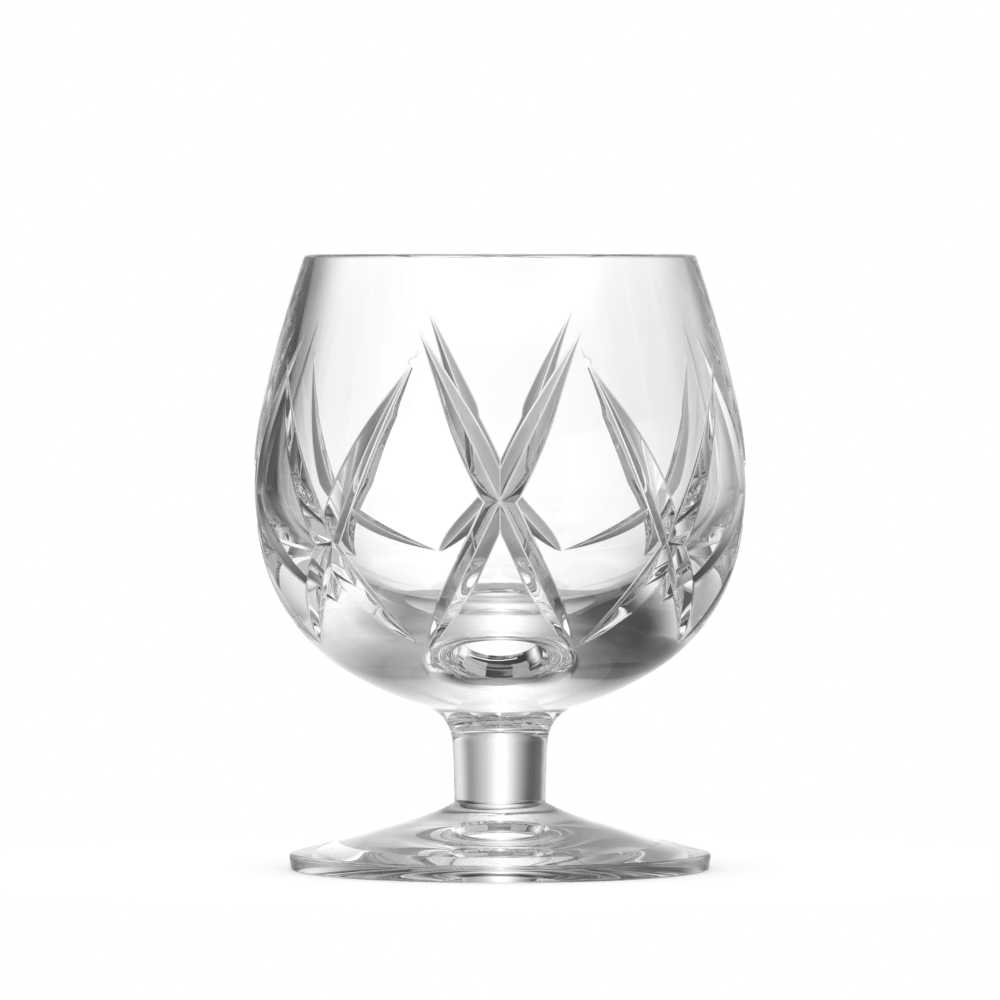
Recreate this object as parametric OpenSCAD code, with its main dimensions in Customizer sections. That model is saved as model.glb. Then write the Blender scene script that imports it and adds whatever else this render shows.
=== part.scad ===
// Brandy snifter of cut crystal, with a short stem and a conical foot.
// It stands on the plane z = 0, and its axis is the Z axis.

/* [Overall] */
// Height from the table to the rim
height = 120; // [114:0.5:126]

/* [Bowl outside] */
// Width of the bowl at its widest
bowl_d = 96; // [92:0.5:100]
// Height of the widest point above the table
belly_z = 76; // [74:0.5:79]
// Width across the outside of the rim, as a share of the bowl's width
rim_share = 0.801; // [0.75:0.001:0.83]
// Radius of the arc that rises from the widest point, as a share of the one arc that would reach the rim
shoulder_share = 0.677; // [0.6:0.001:0.76]
// Radius of the long arc that runs on from the shoulder to the rim, as a share of the same arc
neck_share = 2.8; // [2:0.1:4]
// Radius of the arc that drops from the widest point
flank_r = 66; // [60:1:72]
// Angle that the flank arc covers
flank_angle = 12.4; // [11:0.1:14]
// Radius of the round lower belly
belly_r = 36.4; // [35:0.1:38]
// Angle below the level at which the lower belly ends
belly_angle = 58.2; // [56:0.1:60]
// Radius of the shallow arc under the bowl
base_r = 64; // [56:1:72]
// Radius of the hollow throat between the bowl and the stem
throat_r = 7.8; // [6.5:0.1:9]

/* [Bowl inside] */
// Thickness of the wall at the rim
rim_wall = 2.3; // [1.8:0.1:3]
// Thickness of the wall at the widest point
belly_wall = 4.5; // [3.6:0.1:5.4]
// Radius of the hollow's side under its widest point, as a share of the hollow's depth there
hollow_side_share = 0.904; // [0.7:0.001:0.96]
// Glass between the floor of the hollow and the join with the stem
base_glass = 16.7; // [13:0.1:17.5]

/* [Cut pattern] */
// Number of tall crosses round the bowl, with a short one in each space
cross_count = 4; // [4:1:5]
// Angle between the two faces of a groove
groove_angle = 115; // [100:1:125]
// Depth of a groove where two of them cross
groove_depth = 1.7; // [1.2:0.1:2]
// Depth of a groove halfway between its crossing and its top end
high_mid_depth = 1.45; // [1.3:0.05:1.55]
// Depth of a groove halfway between its crossing and its bottom end
low_mid_depth = 1.65; // [1.5:0.05:1.7]
// Place of the top ends of the tall crosses, as a share of the way from the widest point up to the rim
tall_top_share = 0.659; // [0.59:0.001:0.7]
// Place of the middle of the tall crosses, as a share of the way from the widest point down to the stem
tall_middle_share = 0.063; // [0.02:0.001:0.1]
// Place of the top ends of the short crosses, as a share of the way up to the rim
short_top_share = 0.511; // [0.46:0.001:0.55]
// Place of the middle of the short crosses, as a share of the way down to the stem
short_middle_share = 0.237; // [0.19:0.001:0.27]
// Place of the bottom ends of the tall crosses, as a share of the way down to the stem
tall_end_share = 0.671; // [0.63:0.001:0.69]
// Place of the bottom ends of the short crosses, as a share of the way down to the stem
short_end_share = 0.661; // [0.62:0.001:0.68]
// Spread of the two top ends of a tall cross, as a share of the spread of its bottom ends
tall_spread_share = 0.93; // [0.88:0.01:0.96]
// Spread of the two top ends of a short cross, as a share of the spread of its bottom ends
short_spread_share = 0.99; // [0.92:0.01:1]

/* [Stem] */
// Width of the stem where it stands on the foot
stem_d = 17.9; // [16:0.1:20]
// Radius of the long hollow curve down the side of the stem
stem_waist_r = 190; // [150:5:260]

/* [Foot] */
// Width of the foot at its edge
foot_d = 82.4; // [78:0.2:88]
// Height of the foot where the stem stands on it
foot_h = 13.1; // [12.2:0.1:14]
// Thickness of the foot at its edge
foot_edge_h = 3.2; // [2.4:0.1:3.8]
// Height that the foot's cone would reach at the stem, as a share of its height over the foot's edge
foot_cone_share = 0.879; // [0.8:0.001:0.93]
// Radius of the hollow curve that leads the foot's upper face into the stem
foot_blend_r = 43; // [30:1:60]
// Radius of the foot's rounded upper edge
foot_corner_r = 0.8; // [0.4:0.1:1.2]
// Draw of the foot's side, from its upper edge in to its lower edge
foot_side_draw = 0.4; // [0.2:0.1:0.8]
// Width of the shallow hollow under the foot
foot_hollow_d = 60; // [54:1:66]
// Depth of the hollow under the foot at its middle
foot_hollow_h = 3.3; // [2.4:0.1:4]

/* [Hidden] */
$fn = 180;
// How far a cut runs past the glass
overrun = 3;
// How far one band of an outline laps under the next one
lap = 1.2;
// How far the wider of two arcs is tucked in where they meet, so that they cross and leave no sliver
tuck = 0.004;
// How much deeper the second groove of a cross is cut, so that it runs under the first
groove_step = 0.08;
// How far one half of a groove runs on past the crossing
groove_lap = 0.9;
// Radius of the rim's round, as a share of the wall at the rim
rim_round_share = 0.545;
// Radius of the disc that rounds the foot's edge, as a share of the corner's radius
corner_round_share = 1.08;
// Place of the join in the throat, as a share of the throat's height
join_share = 0.5;

// Point on a circle, at an angle above the level
function on_circle(centre, radius, angle) = centre + radius * [cos(angle), sin(angle)];

// Centre of an arc that runs on from another one at an angle, with no kink
function next_centre(centre, radius, next_radius, angle) =
    on_circle(centre, radius - next_radius, angle);

// Half width of an arc's disc at a height
function arc_at(centre, radius, z) = centre.x + sqrt(radius * radius - pow(z - centre.y, 2));

// Right-hand point that lies at two given distances from two centres
function meeting_point(a, ra, b, rb) =
    let (
        gap = b - a,
        span = norm(gap),
        along = (ra * ra - rb * rb + span * span) / (2 * span),
        aside = sqrt(ra * ra - along * along)
    )
    a + (along * gap + aside * [gap.y, -gap.x]) / span;

// Height of the centre of a floor arc that meets the side arc with no kink
function floor_centre_z(low, aside, level) =
    (low * low - aside * aside - level * level) / (2 * (low - level));

// Angle above the level at which a line from a point above touches a circle
function tangent_angle(centre, radius, point) =
    let (gap = point - centre)
    atan2(gap.y, gap.x) - acos(radius / norm(gap));

// Rim: rounded over a little wider than the wall is thick
rim_r = rim_wall / 2;
rim_round_r = rim_round_share * rim_wall;
rim_c = [rim_share * bowl_d / 2 - rim_r, height - rim_round_r];

// Outside of the bowl above its widest point
rim_reach = bowl_d / 2 - rim_c.x - rim_r;
rim_rise = rim_c.y - belly_z;
one_arc_r = (rim_reach * rim_reach + rim_rise * rim_rise) / (2 * rim_reach);
shoulder_r = shoulder_share * one_arc_r;
neck_r = neck_share * one_arc_r;
shoulder_c = [bowl_d / 2 - shoulder_r, belly_z];
neck_c = meeting_point(rim_c, neck_r - rim_r, shoulder_c, neck_r - shoulder_r);
shoulder_top = neck_c + (shoulder_c - neck_c) * neck_r / (neck_r - shoulder_r);

// Outside of the bowl below its widest point
flank_c = [bowl_d / 2 - flank_r, belly_z];
flank_end = on_circle(flank_c, flank_r, -flank_angle);
belly_c = next_centre(flank_c, flank_r, belly_r, -flank_angle);
belly_end = on_circle(belly_c, belly_r, -belly_angle);
base_c = next_centre(belly_c, belly_r, base_r, -belly_angle);

// Throat and stem: both curves are hollow, so their centres lie outside the glass
waist_c = [stem_d / 2 + stem_waist_r, foot_h];
throat_c = meeting_point(base_c, base_r + throat_r, waist_c, stem_waist_r - throat_r);
throat_top = base_c + (throat_c - base_c) * base_r / (base_r + throat_r);
throat_end = waist_c + (throat_c - waist_c) * stem_waist_r / (stem_waist_r - throat_r);
join_z = throat_end.y + join_share * (throat_top.y - throat_end.y);

// Hollow of the bowl
hollow_d = bowl_d - 2 * belly_wall;
hollow_shoulder_r = shoulder_r - belly_wall;
hollow_neck_angle = tangent_angle(shoulder_c, hollow_shoulder_r + rim_r, rim_c);
hollow_neck_low = on_circle(shoulder_c, hollow_shoulder_r - tuck, hollow_neck_angle);
mouth_z = height + overrun;
mouth_r = hollow_neck_low.x - (mouth_z - hollow_neck_low.y) * tan(hollow_neck_angle);
hollow_floor_z = join_z + base_glass;
hollow_side_r = hollow_side_share * (belly_z - hollow_floor_z);
hollow_side_c = [hollow_d / 2 - hollow_side_r, belly_z];
hollow_floor_c = [0, floor_centre_z(hollow_floor_z + hollow_side_r, hollow_side_c.x, belly_z)];
hollow_floor_r = hollow_floor_c.y - hollow_floor_z;
hollow_side_angle = atan2(belly_z - hollow_floor_c.y, hollow_side_c.x);
hollow_side_end = on_circle(hollow_side_c, hollow_side_r, hollow_side_angle);

// Heights of the cut pattern
tall_top_z = belly_z + tall_top_share * (height - belly_z);
tall_middle_z = belly_z - tall_middle_share * (belly_z - join_z);
short_top_z = belly_z + short_top_share * (height - belly_z);
short_middle_z = belly_z - short_middle_share * (belly_z - join_z);
tall_end_z = belly_z - tall_end_share * (belly_z - join_z);
short_end_z = belly_z - short_end_share * (belly_z - join_z);

// Foot: the upper face is a cone that curves up into the stem
foot_r = foot_d / 2;
foot_slope = atan(foot_cone_share * (foot_h - foot_edge_h) / (foot_r - stem_d / 2));
foot_out = [cos(foot_slope), -sin(foot_slope)];
foot_up = [sin(foot_slope), cos(foot_slope)];
foot_edge = [foot_r, foot_edge_h];
foot_top = [stem_d / 2, foot_h];
blend_rise = (foot_top - foot_edge) * foot_up;
blend_run = sqrt(2 * foot_blend_r * blend_rise - blend_rise * blend_rise);
blend_end = foot_top - blend_rise * foot_up + blend_run * foot_out;
blend_c = blend_end + foot_blend_r * foot_up;
corner_setback = foot_corner_r * tan(45 - foot_slope / 2);
corner_c = foot_edge - [foot_corner_r, corner_setback];
foot_hollow_r = (pow(foot_hollow_d / 2, 2) + pow(foot_hollow_h, 2)) / (2 * foot_hollow_h);

// Outer radius of the uncut bowl at a height
function glass_r(z) =
    z > shoulder_top.y ? arc_at(neck_c, neck_r, z) :
    z > belly_z ? arc_at(shoulder_c, shoulder_r, z) :
    z > flank_end.y ? arc_at(flank_c, flank_r, z) :
    z > belly_end.y ? arc_at(belly_c, belly_r, z) :
    arc_at(base_c, base_r, z);

// Centre of the arc that the uncut bowl follows at a height
function arc_centre(z) =
    z > shoulder_top.y ? neck_c :
    z > belly_z ? shoulder_c :
    z > flank_end.y ? flank_c :
    z > belly_end.y ? belly_c :
    base_c;

// Point at a depth under the surface of the bowl, from its height and its angle round the axis
function under_glass(z, angle, depth) =
    let (
        skin = [glass_r(z), z],
        inward = arc_centre(z) - skin,
        deep = skin + depth * inward / norm(inward)
    )
    [deep.x * sin(angle), -deep.x * cos(angle), deep.y];

// Point at a depth under the surface of the bowl, reached square to the surface from a point inside
function out_from(inside, depth) =
    let (
        flat = [norm([inside.x, inside.y]), inside.z],
        centre = arc_centre(flat.y),
        skin_r = norm([glass_r(flat.y), flat.y] - centre),
        deep = centre + (skin_r - depth) * (flat - centre) / norm(flat - centre)
    )
    [deep.x * inside.x / flat.x, deep.x * inside.y / flat.x, deep.y];

// Centre of the circle through three points
function circle_centre(a, b, c) =
    let (u = b - a, v = c - a, w = cross(u, v))
    a + (cross(w, u) * (v * v) + cross(v, w) * (u * u)) / (2 * w * w);

// Part of a disc between two heights, to the right of the axis, with the space up to the axis.
// Where two arcs meet, the band of the smaller disc laps under the other and stands out by the tuck.
module arc_band(centre, radius, low, high) {
    intersection() {
        translate(centre) circle(radius);
        translate([0, low]) square([bowl_d, high - low]);
    }
    if (centre.x > 0) translate([0, low]) square([centre.x, high - low]);
}

// Strip between the axis and a hollow arc, between two heights
module hollow_band(centre, radius, low, high) {
    difference() {
        translate([0, low]) square([centre.x, high - low]);
        translate(centre) circle(radius);
    }
}

// Outline of the bowl with its hollow filled, up to the rim's round
module bowl_outline() {
    arc_band(neck_c, neck_r - tuck, shoulder_top.y, height);
    arc_band(shoulder_c, shoulder_r, belly_z, shoulder_top.y + lap);
    arc_band(flank_c, flank_r, flank_end.y, belly_z + lap);
    arc_band(belly_c, belly_r + tuck, belly_end.y - lap, flank_end.y + lap);
    arc_band(base_c, base_r, throat_top.y - lap, belly_end.y);
    hollow_band(throat_c, throat_r + tuck, join_z, throat_top.y);
}

// Outline of the hollow, with its mouth open past the rim
module hollow_outline() {
    polygon([[0, hollow_neck_low.y], hollow_neck_low, [mouth_r, mouth_z], [0, mouth_z]]);
    arc_band(shoulder_c, hollow_shoulder_r, belly_z, hollow_neck_low.y + lap);
    arc_band(hollow_side_c, hollow_side_r, hollow_side_end.y - lap, belly_z + lap);
    arc_band(hollow_floor_c, hollow_floor_r - tuck, hollow_floor_z - lap, hollow_side_end.y);
}

// Cutter for one half of a groove: it follows the bowl from the crossing to the groove's end
module groove_half(middle_z, end_z, end_angle, mid_depth, deeper) {
    start = under_glass(middle_z, 0, groove_depth + deeper);
    end = under_glass(end_z, end_angle, 0);
    halfway = out_from((start + end) / 2, mid_depth + deeper);
    centre = circle_centre(start, halfway, end);
    axis = cross(halfway - start, end - start);
    lean = acos(axis.z / norm(axis));
    turn = atan2(axis.y, axis.x);
    level = [cos(turn) * cos(lean), sin(turn) * cos(lean), -sin(lean)];
    side = [-sin(turn), cos(turn), 0];
    from = atan2((start - centre) * side, (start - centre) * level);
    radius = norm(start - centre);
    sweep = acos((start - centre) * (end - centre) / (radius * radius));
    lap_angle = groove_lap / radius * 180 / PI;
    run_out_angle = overrun / radius * 180 / PI;
    reach = groove_depth + overrun;
    translate(centre) rotate([0, lean, turn]) rotate([0, 0, from - lap_angle])
        rotate_extrude(angle = lap_angle + sweep + run_out_angle)
            polygon([
                [radius, 0],
                [radius + reach, reach * tan(groove_angle / 2)],
                [radius + reach, -reach * tan(groove_angle / 2)]
            ]);
}

// Cutters for one cross, whose two grooves mirror each other
module cross_cut(top_z, middle_z, end_z, spread) {
    end_angle = 180 / (2 * cross_count);
    for (hand = [-1, 1]) {
        deeper = hand > 0 ? groove_step : 0;
        groove_half(middle_z, top_z, hand * spread * end_angle, high_mid_depth, deeper);
        groove_half(middle_z, end_z, -hand * end_angle, low_mid_depth, deeper);
    }
}

module bowl() {
    color("lightcyan", 0.5)
        difference() {
            rotate_extrude() {
                intersection() {
                    difference() {
                        bowl_outline();
                        hollow_outline();
                    }
                    union() {
                        translate([0, join_z]) square([bowl_d, rim_c.y - join_z]);
                        translate(rim_c) circle(rim_round_r);
                    }
                }
            }
            for (i = [0 : cross_count - 1]) {
                rotate([0, 0, i * 360 / cross_count])
                    cross_cut(tall_top_z, tall_middle_z, tall_end_z, tall_spread_share);
                rotate([0, 0, (i + 0.5) * 360 / cross_count])
                    cross_cut(short_top_z, short_middle_z, short_end_z, short_spread_share);
            }
        }
}

module stem() {
    color("azure", 0.5)
        rotate_extrude() {
            hollow_band(throat_c, throat_r + tuck, throat_end.y, join_z);
            hollow_band(waist_c, stem_waist_r, foot_h, throat_end.y + lap);
        }
}

module foot() {
    color("aliceblue", 0.5)
        difference() {
            rotate_extrude() {
                intersection() {
                    difference() {
                        polygon([
                            [0, 0],
                            [0, foot_h],
                            [blend_end.x, foot_h],
                            blend_end,
                            foot_edge,
                            [foot_r - foot_side_draw, 0]
                        ]);
                        translate(blend_c) circle(foot_blend_r);
                    }
                    union() {
                        square([corner_c.x, foot_h]);
                        square([foot_r, corner_c.y]);
                        translate(corner_c) circle(corner_round_share * foot_corner_r);
                    }
                }
            }
            translate([0, 0, foot_hollow_h - foot_hollow_r]) sphere(foot_hollow_r);
        }
}

bowl();
stem();
foot();
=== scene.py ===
"""Looks of a cut-crystal brandy snifter: its glass, a bright-field studio and a white floor."""
import logging
import math
from abc import ABC, abstractmethod
from collections.abc import Callable
from dataclasses import dataclass
from enum import Enum, IntEnum
from functools import cached_property

import bpy
import numpy as np
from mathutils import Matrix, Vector
from mathutils.geometry import delaunay_2d_cdt


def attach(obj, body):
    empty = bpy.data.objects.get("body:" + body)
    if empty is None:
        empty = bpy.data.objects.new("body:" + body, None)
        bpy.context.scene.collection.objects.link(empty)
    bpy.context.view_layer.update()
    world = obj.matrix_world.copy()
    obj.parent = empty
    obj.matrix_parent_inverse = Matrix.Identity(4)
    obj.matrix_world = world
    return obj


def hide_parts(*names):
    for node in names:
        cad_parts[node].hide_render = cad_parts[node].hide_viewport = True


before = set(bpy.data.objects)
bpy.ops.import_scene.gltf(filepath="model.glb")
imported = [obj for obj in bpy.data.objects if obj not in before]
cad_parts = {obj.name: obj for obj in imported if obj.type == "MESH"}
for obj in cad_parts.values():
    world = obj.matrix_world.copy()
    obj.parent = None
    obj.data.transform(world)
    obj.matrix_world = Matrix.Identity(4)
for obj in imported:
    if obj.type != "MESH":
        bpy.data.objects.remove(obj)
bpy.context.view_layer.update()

MM = 0.001
BODY = "root"
BOUNCES = 32
Array = np.ndarray
Socket = bpy.types.NodeSocket
log = logging.getLogger("snifter")


def ray(angle: float) -> Array:
    """Unit vector at an angle above the level, in radians."""
    return np.array([math.cos(angle), math.sin(angle)])


def heading(start: Array, stop: Array) -> float:
    """Angle above the level of the way from one point to another."""
    return math.atan2(stop[1] - start[1], stop[0] - start[0])


def pairs(first: Array | float, second: Array | float) -> Array:
    """Pairs of the values of two arrays, in a new last axis."""
    return np.stack(np.broadcast_arrays(first, second), -1)


def unit(vectors: Array) -> Array:
    """Vectors at length one, without a division by zero."""
    return vectors / np.maximum(np.linalg.norm(vectors, axis=-1, keepdims=True), 1e-12)


def spun(flat: Array, turn: Array | float) -> Array:
    """Points in space from radius and height and the turn round the axis, which is 0 on the -Y side."""
    return np.stack([flat[..., 0] * np.sin(turn), -flat[..., 0] * np.cos(turn), flat[..., 1]], -1)


def meeting_point(a: Array, ra: float, b: Array, rb: float) -> Array:
    """Point that lies at given distances from two centres.

    Args:
        a: first centre.
        ra: distance from the first centre.
        b: second centre.
        rb: distance from the second centre.

    Returns:
        The one of the two points that is to the right of the way from the first centre to the second.
    """
    gap = b - a
    span = math.hypot(*gap)
    along = (ra * ra - rb * rb + span * span) / (2 * span)
    aside = math.sqrt(ra * ra - along * along)
    return a + (along * gap + aside * np.array([gap[1], -gap[0]])) / span


def crossover(low: Array, high: Array, holds: Callable[[Array], Array], halvings: int = 30) -> Array:
    """Places at which a test ceases to hold, found by halving.

    Args:
        low: places at which it holds.
        high: places at which it holds no longer.
        holds: the test.
        halvings: how often the way between them is halved.

    Returns:
        The last places at which it holds.
    """
    for _ in range(halvings):
        half = (low + high) / 2
        true = holds(half)
        low, high = np.where(true, half, low), np.where(true, high, half)
    return low


def smooth_max(a: Array, b: Array, soft: float) -> Array:
    """Larger of two fields, with the ridge between them rounded off.

    Args:
        a: first field.
        b: second field.
        soft: difference between the fields at which the rounding starts.

    Returns:
        The rounded maximum.
    """
    near = np.maximum(soft - np.abs(a - b), 0) / soft
    return np.maximum(a, b) + near * near * soft / 4


class Side(Enum):
    """Side on which the air is, on the way along an outline whose axis is on the left of the page."""

    LEFT = 1
    RIGHT = -1


@dataclass(frozen=True)
class Arc:
    """Arc of an outline in the half plane of radius and height, in millimetres.

    Args:
        centre: radius and height of its centre.
        radius: its radius.
        start: angle above the level at which it starts, in radians.
        stop: angle at which it ends.
    """

    centre: Array
    radius: float
    start: float
    stop: float

    @property
    def length(self) -> float:
        """Length along the arc."""
        return abs(self.stop - self.start) * self.radius

    def sample(self, along: Array) -> tuple[Array, Array]:
        """Places on the arc.

        Args:
            along: distances from its start.

        Returns:
            Points, and unit vectors that point to the left of the arc's run.
        """
        angle = self.start + (self.stop - self.start) * along / self.length
        rays = pairs(np.cos(angle), np.sin(angle))
        outward = 1 if self.stop < self.start else -1
        return self.centre + self.radius * rays, outward * rays


@dataclass(frozen=True)
class Line:
    """Straight part of an outline.

    Args:
        first: radius and height of its start.
        last: radius and height of its end.
    """

    first: Array
    last: Array

    @property
    def length(self) -> float:
        """Length of the line."""
        return math.dist(self.first, self.last)

    def sample(self, along: Array) -> tuple[Array, Array]:
        """Places on the line.

        Args:
            along: distances from its start.

        Returns:
            Points, and unit vectors that point to the left of the line's run.
        """
        run = (self.last - self.first) / self.length
        points = self.first + along[..., None] * run
        return points, np.broadcast_to(np.array([-run[1], run[0]]), points.shape)


class Path:
    """Outline made of arcs and lines that run on from each other. TABLE counts the places searched."""

    TABLE = 4001

    def __init__(self, parts: list[Arc | Line], side: Side = Side.LEFT) -> None:
        """Adds up the lengths of the parts.

        Args:
            parts: arcs and lines, in order.
            side: side on which the air is.
        """
        self.parts = parts
        self.side = side
        self.ends = np.cumsum([0.0] + [p.length for p in parts])

    def sample(self, along: Array | float) -> tuple[Array, Array]:
        """Points and normals at distances along the path.

        Args:
            along: distances from the path's start.

        Returns:
            Points and unit normals, each as radius and height in the last axis.
        """
        along = np.asarray(along, float)
        which = np.clip(np.searchsorted(self.ends, along, "right") - 1, 0, len(self.parts) - 1)
        points, lefts = np.empty((*along.shape, 2)), np.empty((*along.shape, 2))
        for i, part in enumerate(self.parts):
            here = which == i
            points[here], lefts[here] = part.sample(along[here] - self.ends[i])
        return points, self.side.value * lefts

    def at_height(self, height: float, first: int, last: int) -> float:
        """Distance along the path at which it is at a given height.

        Args:
            height: the height.
            first: first part that is searched.
            last: part after the last one that is searched.

        Returns:
            The distance, from a fine table of the path between those parts.
        """
        table = np.linspace(self.ends[first], self.ends[last], self.TABLE)
        heights = self.sample(table)[0][:, 1]
        order = np.argsort(heights)
        return float(np.interp(height, heights[order], table[order]))

    def stations(self, turn: float, longest: float) -> Array:
        """Distances at which a revolved mesh gets its rows.

        Args:
            turn: largest turn of an arc between two rows, in radians.
            longest: largest distance between two rows.

        Returns:
            The distances, with every end of a part among them.
        """
        rows = [np.zeros(1)]
        for part, start in zip(self.parts, self.ends):
            step = min(longest, turn * part.radius) if isinstance(part, Arc) else longest
            count = max(1, math.ceil(part.length / step))
            rows.append(start + part.length * np.arange(1, count + 1) / count)
        return np.concatenate(rows)


@dataclass(frozen=True)
class Outline:
    """Sizes of the glass in millimetres and degrees, as the CAD part has them, and the paths they give.

    The rim's share is of the bowl's width. Those of the shoulder and the neck are of the radius of one
    arc from the widest point to the rim. The hollow side's is of the hollow's depth under the widest
    point, and the foot cone's is of the fall of the foot's upper face.
    """

    height: float = 120.0
    bowl_width: float = 96.0
    belly_height: float = 76.0
    rim_share: float = 0.801
    shoulder_share: float = 0.677
    neck_share: float = 2.8
    flank_radius: float = 66.0
    flank_turn: float = 12.4
    belly_radius: float = 36.4
    belly_turn: float = 58.2
    base_radius: float = 64.0
    throat_radius: float = 7.8
    rim_wall: float = 2.3
    belly_wall: float = 4.5
    hollow_side_share: float = 0.904
    base_glass: float = 16.7
    stem_width: float = 17.9
    waist_radius: float = 190.0
    foot_width: float = 82.4
    foot_height: float = 13.1
    foot_edge_height: float = 3.2
    foot_cone_share: float = 0.879
    foot_blend_radius: float = 43.0
    foot_corner_radius: float = 0.8
    foot_side_draw: float = 0.4
    foot_heel_radius: float = 0.35
    foot_hollow_width: float = 60.0
    foot_hollow_depth: float = 3.3
    foot_hollow_edge_radius: float = 0.6

    @cached_property
    def rim_radius(self) -> float:
        """Radius of the rim's round."""
        return self.rim_wall / 2

    @cached_property
    def rim_centre(self) -> Array:
        """Centre of the rim's round."""
        reach = self.rim_share * self.bowl_width / 2
        return np.array([reach - self.rim_radius, self.height - self.rim_radius])

    @cached_property
    def shoulder(self) -> tuple[Array, float]:
        """Centre and radius of the arc that rises from the widest point."""
        reach = self.bowl_width / 2 - self.rim_centre[0] - self.rim_radius
        rise = self.rim_centre[1] - self.belly_height
        one_arc = (reach * reach + rise * rise) / (2 * reach)
        radius = self.shoulder_share * one_arc
        return np.array([self.bowl_width / 2 - radius, self.belly_height]), radius

    @cached_property
    def neck(self) -> tuple[Array, float]:
        """Centre and radius of the long arc between the shoulder and the rim."""
        centre, short = self.shoulder
        radius = self.neck_share / self.shoulder_share * short
        return meeting_point(self.rim_centre, radius - self.rim_radius, centre, radius - short), radius

    @cached_property
    def lower_arcs(self) -> list[Arc]:
        """Flank, belly and base: the arcs that drop from the widest point, the base's as far as the axis."""
        turns = (0.0, self.flank_turn, self.belly_turn, 90.0)
        radii = (self.flank_radius, self.belly_radius, self.base_radius)
        centre = np.array([self.bowl_width / 2 - radii[0], self.belly_height])
        arcs, before = [], radii[0]
        for radius, start, stop in zip(radii, turns, turns[1:]):
            centre = centre + (before - radius) * ray(-math.radians(start))
            arcs.append(Arc(centre, radius, -math.radians(start), -math.radians(stop)))
            before = radius
        return arcs

    @cached_property
    def waist_centre(self) -> Array:
        """Centre of the stem's long hollow curve."""
        return np.array([self.stem_width / 2 + self.waist_radius, self.foot_height])

    @cached_property
    def throat(self) -> tuple[Array, float, float]:
        """Centre of the throat's hollow round, and its angles where it meets the base and the stem."""
        base, waist, radius = self.lower_arcs[-1], self.waist_centre, self.throat_radius
        centre = meeting_point(base.centre, base.radius + radius, waist, self.waist_radius - radius)
        return centre, heading(centre, base.centre), heading(waist, centre) % math.tau

    @cached_property
    def join_height(self) -> float:
        """Height of the face where the bowl and the stem are fused."""
        centre, top, end = self.throat
        return centre[1] + self.throat_radius * (math.sin(top) + math.sin(end)) / 2

    @cached_property
    def join_angle(self) -> float:
        """Angle in the throat at which the bowl and the stem are fused."""
        centre = self.throat[0]
        return math.pi - math.asin((self.join_height - centre[1]) / self.throat_radius)

    @cached_property
    def hollow_floor(self) -> float:
        """Height of the middle of the bowl's floor."""
        return self.join_height + self.base_glass

    @cached_property
    def bowl_outside(self) -> Path:
        """Outside of the bowl, from the top of the rim down to the join with the stem."""
        neck_centre, neck_radius = self.neck
        shoulder_centre, shoulder_radius = self.shoulder
        rim_turn = heading(neck_centre, self.rim_centre)
        shoulder_turn = heading(neck_centre, shoulder_centre)
        flank, belly, base = self.lower_arcs
        throat_centre, throat_top, _ = self.throat
        return Path([
            Arc(self.rim_centre, self.rim_radius, math.pi / 2, rim_turn),
            Arc(neck_centre, neck_radius, rim_turn, shoulder_turn),
            Arc(shoulder_centre, shoulder_radius, shoulder_turn, 0.0),
            flank,
            belly,
            Arc(base.centre, base.radius, base.start, throat_top - math.pi),
            Arc(throat_centre, self.throat_radius, throat_top, self.join_angle),
        ])

    @cached_property
    def bowl_inside(self) -> Path:
        """Hollow of the bowl, from the top of the rim down to the middle of the floor."""
        centre, radius = self.shoulder
        radius -= self.belly_wall
        gap = self.rim_centre - centre
        turn = math.atan2(gap[1], gap[0]) - math.acos((radius + self.rim_radius) / math.hypot(*gap))
        floor, level = self.hollow_floor, self.belly_height
        side_radius = self.hollow_side_share * (level - floor)
        side = np.array([self.bowl_width / 2 - self.belly_wall - side_radius, level])
        low = floor + side_radius
        floor_centre = np.array([0.0, (low**2 - side[0] ** 2 - level**2) / (2 * (low - level))])
        side_turn = heading(floor_centre, side)
        parts = [
            Arc(self.rim_centre, self.rim_radius, math.pi / 2, math.pi + turn),
            Line(self.rim_centre - self.rim_radius * ray(turn), centre + radius * ray(turn)),
            Arc(centre, radius, turn, 0.0),
            Arc(side, side_radius, 0.0, side_turn),
            Arc(floor_centre, floor_centre[1] - floor, side_turn, -math.pi / 2),
        ]
        return Path(parts, Side.RIGHT)

    @cached_property
    def stem_side(self) -> Path:
        """Side of the stem, from the join with the bowl down to the join with the foot."""
        centre, _, end = self.throat
        return Path([
            Arc(centre, self.throat_radius, self.join_angle, end),
            Arc(self.waist_centre, self.waist_radius, end, math.pi),
        ])

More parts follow.
